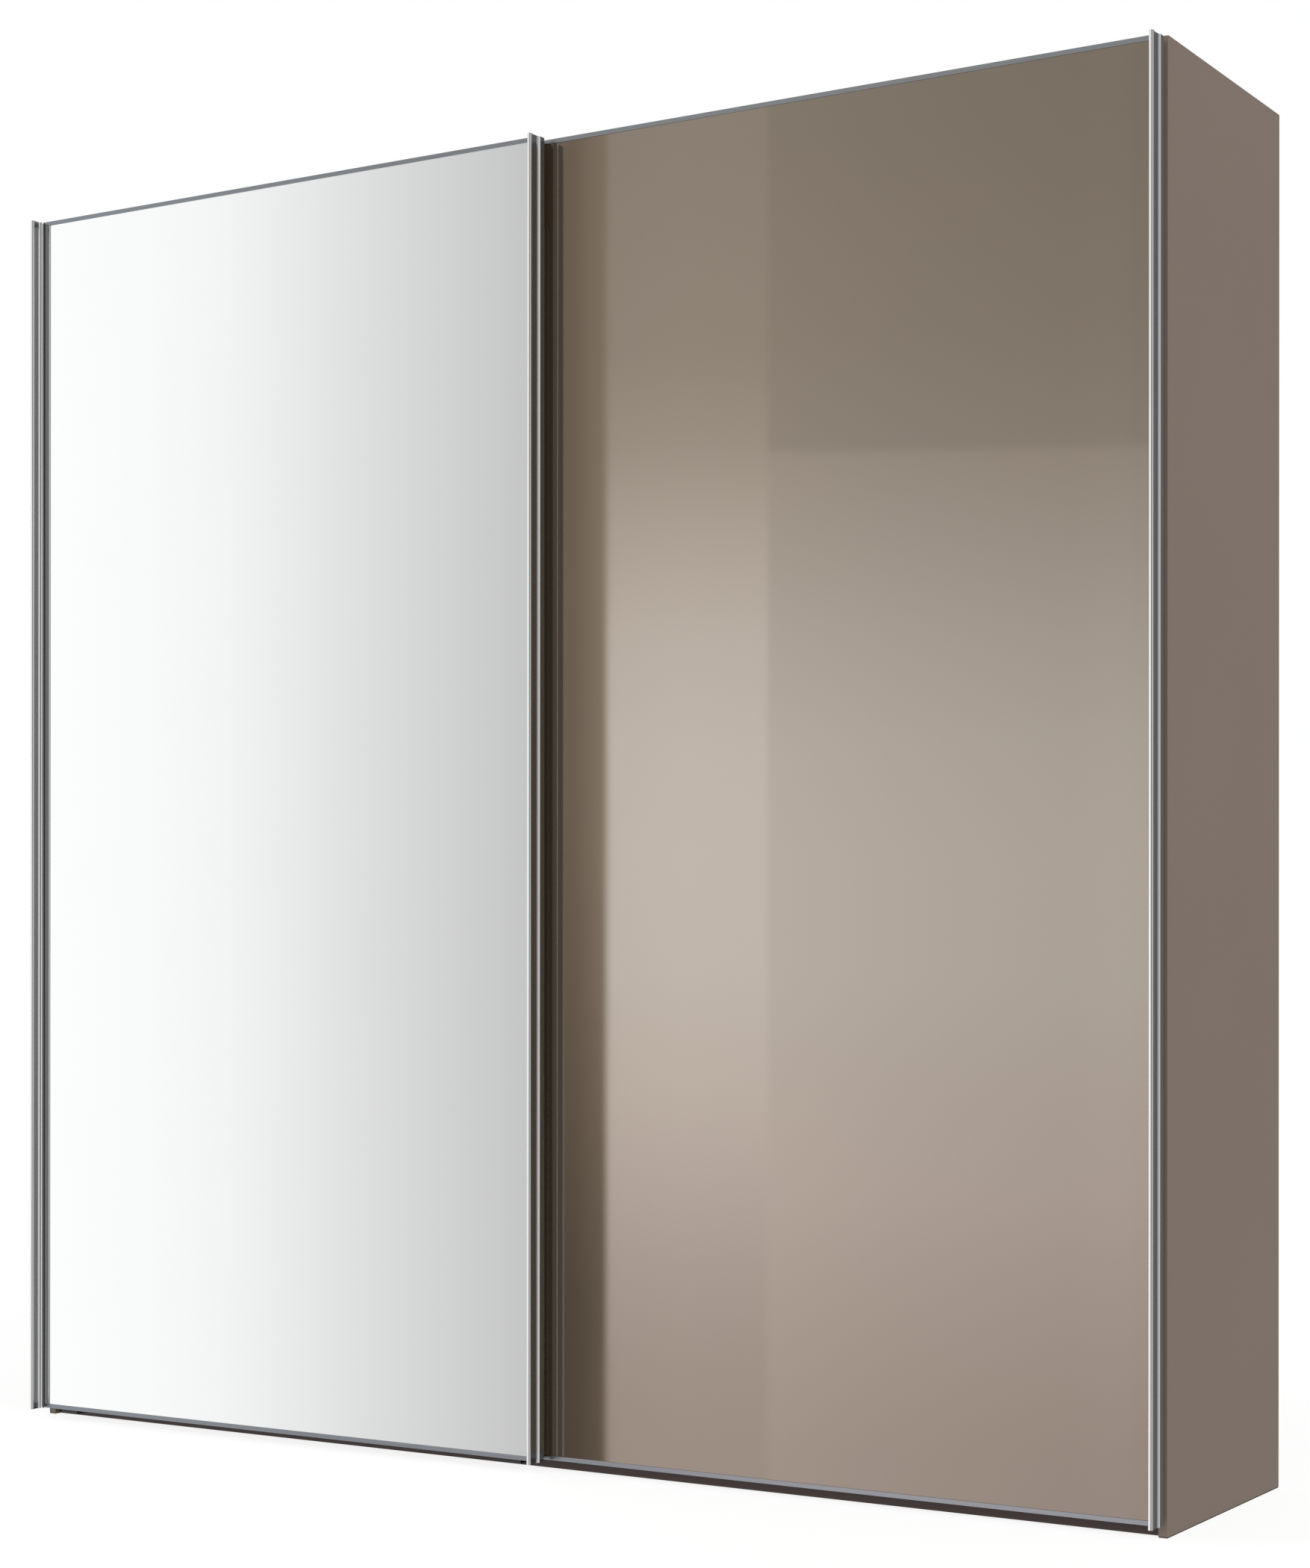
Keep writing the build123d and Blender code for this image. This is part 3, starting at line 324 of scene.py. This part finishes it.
def lacquered_glass(name, node, colour):
    """Float glass lacquered behind: a deep even colour under a polished surface."""
    f = Finish(
        name, IOR=2.5, Coat_Weight=1.0, Coat_Roughness=0.012, Coat_IOR=1.5,
        Specular_Tint=(1.0, 0.85, 0.71, 1),
    )
    low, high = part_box(node)
    edge = edge_distance(f, low, high)
    lacquer = f.noise(f.place, 3.1, 3.0)
    grain = f.noise(f.place, 900.0, 2.0)
    y = f.axes(f.place)[1]
    deep = f.calc("GREATER_THAN", y, low.y + PANE_FACE)
    tone = f.ramp(lacquer, [(0.3, scaled(colour, 0.985)), (0.7, scaled(colour, 1.015))])
    tone = f.mix(1.0, tone, f.ramp(grain, [(0.3, 0.985), (0.7, 1.01)]), "MULTIPLY")
    rim = f.ramp(f.span(edge, 0.0, 0.01), [(0.0, 0.72), (0.25, 1.0)])
    face = f.mix(1.0, tone, rim, "MULTIPLY")
    wave = f.noise(f.place, 2.4, 1.0)
    f.set(
        Base_Color=f.mix(deep, face, scaled(colour, 0.55)),
        Roughness=f.span(lacquer, 0.2, 0.8, 0.014, 0.03),
        Normal=f.bump(wave, 0.0004, 0.12),
        Coat_Normal=f.bump(wave, 0.0004, 0.12),
    )
    return f.material


def pile(name, colour):
    """Close dark bristles, lighter where they catch the light at the tips."""
    f = Finish(name, Sheen_Weight=0.4, Sheen_Roughness=0.4)
    tone = f.noise(f.stretched(f.place, (900.0, 60.0, 900.0)), 1.0, 2.0)
    f.set(
        Base_Color=f.ramp(tone, [(0.3, scaled(colour, 0.6)), (0.7, scaled(colour, 1.9))]),
        Roughness=f.span(tone, 0.3, 0.7, 0.55, 0.85),
        Normal=f.bump(tone, 0.0002, 0.4),
    )
    return f.material


def rubber(name, colour):
    """Soft black sealing lip with a dusty bloom."""
    f = Finish(name)
    bloom = f.noise(f.place, 160.0, 4.0, 0.6)
    f.set(
        Base_Color=f.ramp(bloom, [(0.35, colour), (0.8, scaled(colour, 2.2))]),
        Roughness=f.span(bloom, 0.3, 0.7, 0.52, 0.74),
        Normal=f.bump(bloom, 0.00005, 0.4),
    )
    return f.material


TAUPE = linear(127, 113, 103)
LINEN = linear(184, 174, 160)
# DARK is the plinth's tone as it shows in the shade under the doors, so it holds painted shade on top of a
# dark board.
DARK = linear(60, 43, 38)
GLASS = linear(69, 59, 46)

side_board = smooth_melamine("taupe_melamine", TAUPE)
upright_linen = linen_melamine("linen_upright", LINEN, "Z")
level_linen = linen_melamine("linen_level", LINEN, "X")
# plinths and centre support: a dark board whose tone also holds painted shade
dark_and_shade_board = smooth_melamine("dark_and_shade_melamine", DARK, 0.5)
door_back = smooth_melamine("door_back", linear(92, 84, 76), 0.55)
back_sheet = hardboard("back_hardboard", linear(176, 166, 152), linear(156, 122, 88))
grip_metal = metal("satin_aluminium_upright", (0.80, 0.80, 0.80, 1), 0.14, "Z", 0.2)
# The rails are the grips' satin aluminium made darker and bluer: painted shade and a painted bluish
# reflection over real drawn lines.
shaded_rail_metal = metal("satin_aluminium_level_shaded", (0.25, 0.27, 0.30, 1), 0.20, "X", 0.25)
track_metal = metal("mill_aluminium", (0.72, 0.73, 0.74, 1), 0.32, "X")
plated = zinc("zinc_plate", (0.70, 0.72, 0.75, 1))
black_steel = moulded("black_powder_coat", linear(44, 41, 39), 0.5)
white_nylon = moulded("white_nylon", linear(222, 221, 214), 0.36)
dark_plastic = moulded("dark_plastic", linear(52, 44, 41), 0.45)
peg_wood = beech("beech", linear(205, 170, 125))
bristle = pile("bristle", linear(34, 33, 32))
seal_rubber = rubber("seal_rubber", linear(30, 29, 28))
mirror_finish = silvered_mirror("mirror", "front_door_mirror")
glass_finish = lacquered_glass("lacquered_glass", "rear_door_glass", GLASS)

FINISHES = {
    side_board: ["left_side_panel", "right_side_panel"],
    upright_linen: ["centre_partition"],
    level_linen: ["top_panel", "bottom_panel", "left_shelf", "right_shelf"],
    dark_and_shade_board: ["front_plinth", "rear_plinth", "centre_support"],
    back_sheet: ["left_back_panel", "right_back_panel"],
    door_back: ["front_door_board", "rear_door_board"],
    grip_metal: [
        "front_door_left_handle", "front_door_right_handle", "rear_door_right_handle",
        "rear_door_left_profile",
    ],
    shaded_rail_metal: [
        "front_door_top_rail", "front_door_bottom_rail", "rear_door_top_rail",
        "rear_door_bottom_rail",
    ],
    track_metal: ["running_track", "left_clothes_rail", "right_clothes_rail"],
    plated: [
        "shelf_pins", "clothes_rail_sockets", "cam_locks", "cam_bolts", "wall_brackets",
        "carcass_screws", "back_panel_screws", "front_door_hangers", "rear_door_hangers",
        "front_door_axles", "rear_door_axles", "front_door_screws", "rear_door_screws",
    ],
    black_steel: ["front_door_guides", "rear_door_guides"],
    white_nylon: [
        "front_door_left_wheel", "front_door_right_wheel", "rear_door_left_wheel",
        "rear_door_right_wheel", "front_door_sliders", "rear_door_sliders",
    ],
    dark_plastic: [
        "left_base_strip", "right_base_strip", "track_end_stops", "guide_track",
        "front_left_foot", "front_right_foot", "rear_left_foot", "rear_right_foot",
    ],
    peg_wood: ["dowels"],
    bristle: ["front_door_brush", "rear_door_brush"],
    mirror_finish: ["front_door_mirror"],
    glass_finish: ["rear_door_glass"],
}
for finish, names in FINISHES.items():
    for node_name in names:
        for slot in NODES[node_name].material_slots:
            slot.material = finish


# ---------------------------------------------------------------- pieces that the frame lacks

def new_object(name, data):
    """An object of the scene with the given data."""
    thing = bpy.data.objects.new(name, data)
    bpy.context.scene.collection.objects.link(thing)
    return thing


def add_piece(name, mesh, finish, body, smooth_angle=None):
    """Links a mesh as a piece that rides on a body."""
    bm = bmesh.new()
    bm.from_mesh(mesh)
    bmesh.ops.recalc_face_normals(bm, faces=bm.faces)
    if smooth_angle is not None:
        for face in bm.faces:
            face.smooth = True
        for edge in bm.edges:
            edge.smooth = len(edge.link_faces) == 2 and edge.calc_face_angle() < smooth_angle
    bm.to_mesh(mesh)
    bm.free()
    mesh.materials.append(finish)
    piece = new_object(name, mesh)
    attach(piece, body)
    return piece


def upright_prism(name, outline, z):
    """A closed outline in XY, drawn up from z[0] to z[1]."""
    mesh = bpy.data.meshes.new(name)
    n = len(outline)
    points = [(x, y, height) for height in z for x, y in outline]
    faces = [(i, (i + 1) % n, n + (i + 1) % n, n + i) for i in range(n)]
    faces += [tuple(range(n)), tuple(range(n, 2 * n))]
    mesh.from_pydata(points, [], faces)
    return mesh


SEAL_WIDTH = 0.0020
SEAL_HEIGHT = 0.0010
SEAL_STEPS = 8


def seal(name, x, inward, pane, rails, body):
    """A rubber lip that rests on the pane along the inner edge of an upright profile."""
    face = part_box(pane)[0].y
    z = (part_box(rails[0])[1].z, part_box(rails[1])[0].z)
    outline = []
    for i in range(SEAL_STEPS + 1):
        a = math.pi / 2 * i / SEAL_STEPS
        outline.append((x + inward * SEAL_WIDTH * math.sin(a), face - SEAL_HEIGHT * math.cos(a)))
    outline.append((x, face))
    mesh = upright_prism(name, outline, z)
    add_piece(name, mesh, seal_rubber, body, math.radians(40))


def seals(door, left_profile, right_profile, pane):
    """The two upright seals of one door."""
    rails = (f"{door}_bottom_rail", f"{door}_top_rail")
    seal(f"{door}_left_seal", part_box(left_profile)[1].x, 1, pane, rails, door)
    seal(f"{door}_right_seal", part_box(right_profile)[0].x, -1, pane, rails, door)


seals("front_door", "front_door_left_handle", "front_door_right_handle", "front_door_mirror")
seals("rear_door", "rear_door_left_profile", "rear_door_right_handle", "rear_door_glass")

random.seed(11)
HOLDER_THICK = 0.0015
HOLDER_LIP = 0.0008
HOLDER_MOUTH = (0.62, 0.45)   # where the rims start and end, as parts of half the width
GROOVE_DEPTH = 0.0006
ROOT_DEPTH = 0.0004           # the tufts start this far inside the holder's face
TUFT_PITCH = 0.0016
TUFT_ROWS = (-0.0009, 0.0, 0.0009)
TUFT_HALF = 0.00062
TUFT_LEAN = 0.0005
TUFT_SHORT = 0.0004           # the most that a tuft is shorter than the longest
TUFT_TAPER = 0.82
BRUSH_MARGIN = 0.002          # bare holder at each end


def brush(door):
    """A brush seal: a folded holder and close tufts that lean a little."""
    node = f"{door}_brush"
    low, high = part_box(node)
    middle = (low.x + high.x) / 2
    half = (high.x - low.x) / 2
    back = low.y + HOLDER_THICK
    rim = back + HOLDER_LIP
    groove = back - GROOVE_DEPTH
    outer, inner = (half * part for part in HOLDER_MOUTH)
    outline = [
        (middle - half, low.y), (middle + half, low.y), (middle + half, back),
        (middle + outer, rim), (middle + inner, rim), (middle + inner, groove),
        (middle - inner, groove), (middle - inner, rim),
        (middle - outer, rim), (middle - half, back),
    ]
    mesh = upright_prism(f"{door}_brush_holder", outline, (low.z, high.z))
    holder = add_piece(f"{door}_brush_holder", mesh, dark_plastic, door)

    points, faces = [], []
    root, tip = back - ROOT_DEPTH, high.y
    count = int((high.z - low.z - 2 * BRUSH_MARGIN) / TUFT_PITCH)
    for i in range(count):
        z = low.z + BRUSH_MARGIN + TUFT_PITCH * (i + 0.5)
        for row in TUFT_ROWS:
            lean_x = random.uniform(-TUFT_LEAN, TUFT_LEAN) * 0.5
            lean_z = random.uniform(-TUFT_LEAN, TUFT_LEAN)
            end = tip - random.uniform(0.0, TUFT_SHORT)
            start = len(points)
            for y, dx, dz, k in ((root, 0, 0, 1.0), (end, lean_x, lean_z, TUFT_TAPER)):
                for sx, sz in ((-1, -1), (1, -1), (1, 1), (-1, 1)):
                    x = middle + row + dx + sx * TUFT_HALF * k
                    points.append((x, y, z + dz + sz * TUFT_HALF * k))
            quads = [(0, 1, 5, 4), (1, 2, 6, 5), (2, 3, 7, 6), (3, 0, 4, 7), (3, 2, 1, 0), (4, 5, 6, 7)]
            faces += [tuple(start + v for v in quad) for quad in quads]
    mesh = bpy.data.meshes.new(f"{door}_brush_pile")
    mesh.from_pydata(points, [], faces)
    tufts = add_piece(f"{door}_brush_pile", mesh, bristle, door)
    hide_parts(node)
    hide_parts(node)


brush("front_door")
brush("rear_door")


# ---------------------------------------------------------------- studio

FLOOR_GLOW = 0.86            # as the camera sees it
FLOOR_LIGHT = 0.28           # as it lights the wardrobe
FLOOR_GAP = 0.0005           # under the feet, so that the faces don't coincide
REACH = 60.0
floor_mesh = bpy.data.meshes.new("floor")
floor_mesh.from_pydata(
    [(-REACH, -REACH, 0), (REACH, -REACH, 0), (REACH, REACH, 0), (-REACH, REACH, 0)], [], [(0, 1, 2, 3)]
)
floor = new_object("floor", floor_mesh)
floor.location.z = -FLOOR_GAP
floor.visible_glossy = False
floor_finish = Finish("floor", Base_Color=(0.26, 0.26, 0.26, 1), Roughness=0.9, Emission_Color=(1, 1, 1, 1))
straight = floor_finish.add("ShaderNodeLightPath").outputs["Is Camera Ray"]
floor_finish.set(Emission_Strength=floor_finish.span(straight, 0.0, 1.0, FLOOR_LIGHT, FLOOR_GLOW))
floor_mesh.materials.append(floor_finish.material)

world = bpy.data.worlds.new("studio")
bpy.context.scene.world = world
world.use_nodes = True
sky = Nodes(world.node_tree)

WHITE = (1.0, 1.0, 1.0, 1.0)
DIFFUSE_SKY = 0.30           # as it lights matt surfaces
BRIGHT = 2.2                 # as glossy surfaces reflect it
FULL_TURN = 360.0


def turn(degrees_left):
    """A direction's place on the ring: 0 degrees is straight ahead of the doors, + is to the left."""
    return (degrees_left + 180.0) / FULL_TURN


direction = sky.add("ShaderNodeTexCoord").outputs["Generated"]
dx, dy, dz = sky.axes(direction)
azimuth = sky.calc("ARCTAN2", sky.calc("MULTIPLY", dx, -1.0), sky.calc("MULTIPLY", dy, -1.0))
around = sky.span(azimuth, -math.pi, math.pi)
climb = sky.calc("ARCSINE", dz)

# Stops of (degrees, brightness or colour) for what glossy surfaces reflect. ROUND goes all the way
# round; the *_SIDE stops are directions to the left of straight ahead, and the UP_* stops are
# elevations.
NEAR, FAR = 12.0, 52.0
ROUND = [
    (-180, 0.30), (-166, 0.20), (-160, 0.05), (-135, 0.05), (-125, 0.13), (-105, 0.24), (-88, 0.32),
    (-72, 0.36), (-61, 0.24), (-52, 0.09), (-30, 0.07), (-22, 0.15), (-8, 0.38), (2, 0.46), (30, 0.50),
    (60, 0.47), (120, 0.42), (160, 0.38), (180, 0.30),
]
DARK_SCREEN = (-65, -10)     # ROUND's stops between these are a dark screen that ends above the floor
DOOR_SIDE = [
    (12, 0.70), (19, 0.78), (22.1, 0.81), (23.4, 0.785), (25.1, 0.815), (26.8, 0.85), (29.3, 0.92),
    (31.0, 0.93), (32.4, 0.90),
]
SCREEN_SIDE = [
    (32.3, (0.37, 0.325, 0.275, 1)), (32.7, (0.34, 0.295, 0.250, 1)), (33.1, (0.25, 0.213, 0.178, 1)),
    (34.2, (0.22, 0.186, 0.155, 1)),
]
MIRROR_SIDE = [
    (33.9, 0.262), (35.6, 0.305), (37.05, 0.342), (38.5, 0.387), (39.9, 0.428), (41.4, 0.452),
    (43.2, 0.466), (52, 0.47),
]
UP_NEAR = [
    (-40, 0.45), (-9.7, 0.75), (-7.7, 0.82), (-6.2, 0.88), (-4.8, 0.94), (-2.6, 0.97), (-0.4, 1.0),
    (1.8, 1.0), (4.0, 0.96), (6.2, 0.86), (7.6, 0.77), (8.6, 0.71), (9.8, 0.63), (12.0, 0.56), (15.5, 0.50),
    (40, 0.35),
]
UP_FAR = [
    (-40, 0.30), (-9.7, 0.61), (-8.6, 0.63), (-7.7, 0.66), (-6.2, 0.73), (-4.8, 0.815), (-2.6, 0.93),
    (-0.4, 0.98), (1.8, 1.0), (4.0, 0.975), (6.2, 0.905), (7.6, 0.79), (8.6, 0.70), (9.8, 0.58),
    (11.5, 0.485), (15.2, 0.436), (40, 0.30),
]
UP_SCREEN = [
    (-40, 0.25), (-9.7, 0.40), (-7.0, 0.43), (-4.8, 0.56), (-2.6, 0.71), (0.0, 0.87), (3.5, 1.0), (40, 0.88),
]
SCREEN_FOOT = (-18.0, -13.0)  # the dark screen fades out over these elevations
NEAR_FROM = (16.0, 20.0)      # the fine ramps take over from the ring here
NEAR_UNTIL = (46.0, 51.0)
WALL_END = (29.25, 29.36)     # beyond it the wall is brighter
WALL_LIFT = 1.135
CEILING = (9.62, 9.80)        # elevations between which the wall gives way to the ceiling
CEILING_SHADE = 0.86
SCREEN_EDGE = (32.40, 32.56)  # the brown screen's two edges
MIRROR_EDGE = (33.82, 33.95)
WARM_ABOVE = (4.0, 12.0)      # elevations over which the light turns warmer
WARM_BELOW = (-9.0, -0.5)
UPRIGHT_REACH = 40.0

ahead = sky.calc("MULTIPLY", azimuth, 180.0 / math.pi)
above = sky.calc("MULTIPLY", climb, 180.0 / math.pi)


def step(low, high):
    """0 before the direction low, 1 after high, in degrees to the left of straight ahead."""
    return sky.span(ahead, low, high)


def band(stops, low=NEAR, high=FAR):
    """A ramp over the near directions, fine enough for the doors' reflections."""
    return sky.ramp(sky.span(ahead, low, high), [((a - low) / (high - low), v) for a, v in stops])


def upright(stops):
    """A ramp over the elevations that the doors reflect."""
    reach = UPRIGHT_REACH
    return sky.ramp(sky.span(above, -reach, reach), [((e + reach) / (2 * reach), v) for e, v in stops])


ring = sky.ramp(around, [(turn(a), v) for a, v in ROUND])
open_stops = [(a, v) for a, v in ROUND if not DARK_SCREEN[0] < a < DARK_SCREEN[1]]
low_ring = sky.ramp(around, [(turn(a), v) for a, v in open_stops])
ring = sky.mix(sky.span(above, *SCREEN_FOOT), low_ring, ring)
door_side = band(DOOR_SIDE)
wall_end = step(*WALL_END)
door_side = sky.mix(1.0, door_side, sky.ramp(wall_end, [(0.0, 1.0), (1.0, WALL_LIFT)]), "MULTIPLY")
ceiling = sky.ramp(sky.span(above, *CEILING), [(0.0, 1.0), (1.0, CEILING_SHADE)])
near_column = sky.mix(1.0, upright(UP_NEAR), ceiling, "MULTIPLY")
door_side = sky.mix(1.0, door_side, sky.mix(wall_end, near_column, upright(UP_FAR)), "MULTIPLY")
warm = sky.ramp(sky.span(above, *WARM_ABOVE), [(0.0, (1, 1, 1, 1)), (1.0, (1.0, 0.95, 0.87, 1))])
door_side = sky.mix(1.0, door_side, warm, "MULTIPLY")
warm_floor = sky.ramp(sky.span(above, *WARM_BELOW), [
    (0.0, (0.985, 0.90, 0.885, 1)), (0.35, (0.985, 0.92, 0.91, 1)), (0.67, (0.995, 0.955, 0.945, 1)),
    (1.0, (1, 1, 1, 1)),
])
door_side = sky.mix(1.0, door_side, warm_floor, "MULTIPLY")
screen_side = sky.mix(1.0, band(SCREEN_SIDE, 32.0, 35.0), upright(UP_SCREEN), "MULTIPLY")
door_side = sky.mix(step(*SCREEN_EDGE), door_side, screen_side)
beyond = step(*MIRROR_EDGE)
near_left = sky.mix(beyond, door_side, band(MIRROR_SIDE))
here = sky.calc("MULTIPLY", step(*NEAR_FROM), sky.calc("SUBTRACT", 1.0, step(*NEAR_UNTIL)))
seen = sky.mix(here, ring, near_left)


def background(colour, strength=1.0):
    """A light that comes from all round."""
    node = sky.add("ShaderNodeBackground")
    sky.put(node.inputs["Color"], colour)
    node.inputs["Strength"].default_value = strength
    return node.outputs[0]


def choose(test, when_not, when):
    """One background or the other, by the kind of ray."""
    node = sky.add("ShaderNodeMixShader")
    for socket, value in zip(node.inputs, (test, when_not, when)):
        sky.put(socket, value)
    return node.outputs[0]


rays = sky.add("ShaderNodeLightPath").outputs
light = choose(rays["Is Glossy Ray"], background(WHITE, DIFFUSE_SKY), background(seen, BRIGHT))
final = choose(rays["Is Camera Ray"], light, background(WHITE))
sky.put(sky.add("ShaderNodeOutputWorld").inputs[0], final)


def soft_sun(name, towards, strength, spread):
    """A wide distant softbox; towards is the direction that its light travels."""
    data = bpy.data.lights.new(name, "SUN")
    data.energy = strength
    data.angle = math.radians(spread)
    lamp = new_object(name, data)
    lamp.rotation_mode = "QUATERNION"
    lamp.rotation_quaternion = Vector(towards).to_track_quat("-Z", "Y")
    lamp.visible_glossy = False


soft_sun("key", (0.95, 0.62, -0.42), 0.75, 22.0)
soft_sun("side", (-1.0, 0.50, -0.22), 2.13, 30.0)


# ---------------------------------------------------------------- camera

SENSOR = 36.0                # millimetres, along the picture's longer side
LENS = 66.84103              # millimetres
RISE = 0.10614286            # how far the horizon lies below the middle, as a part of the height
CAMERA_TURN = math.radians(31.522)
CAMERA_ROLL = -0.0006
CAMERA_PLACE = (2.9314, -4.6097, 0.9385)

eye = bpy.data.cameras.new("camera")
eye.sensor_width = SENSOR
eye.lens = LENS
eye.shift_y = RISE
eye.clip_end = 200.0
camera = new_object("camera", eye)
camera.location = CAMERA_PLACE
camera.rotation_euler = (math.pi / 2, CAMERA_ROLL, CAMERA_TURN)
bpy.context.scene.camera = camera

view = bpy.context.scene.view_settings
view.view_transform = "Standard"
view.look = "None"
view.exposure = 0.0
view.gamma = 1.0
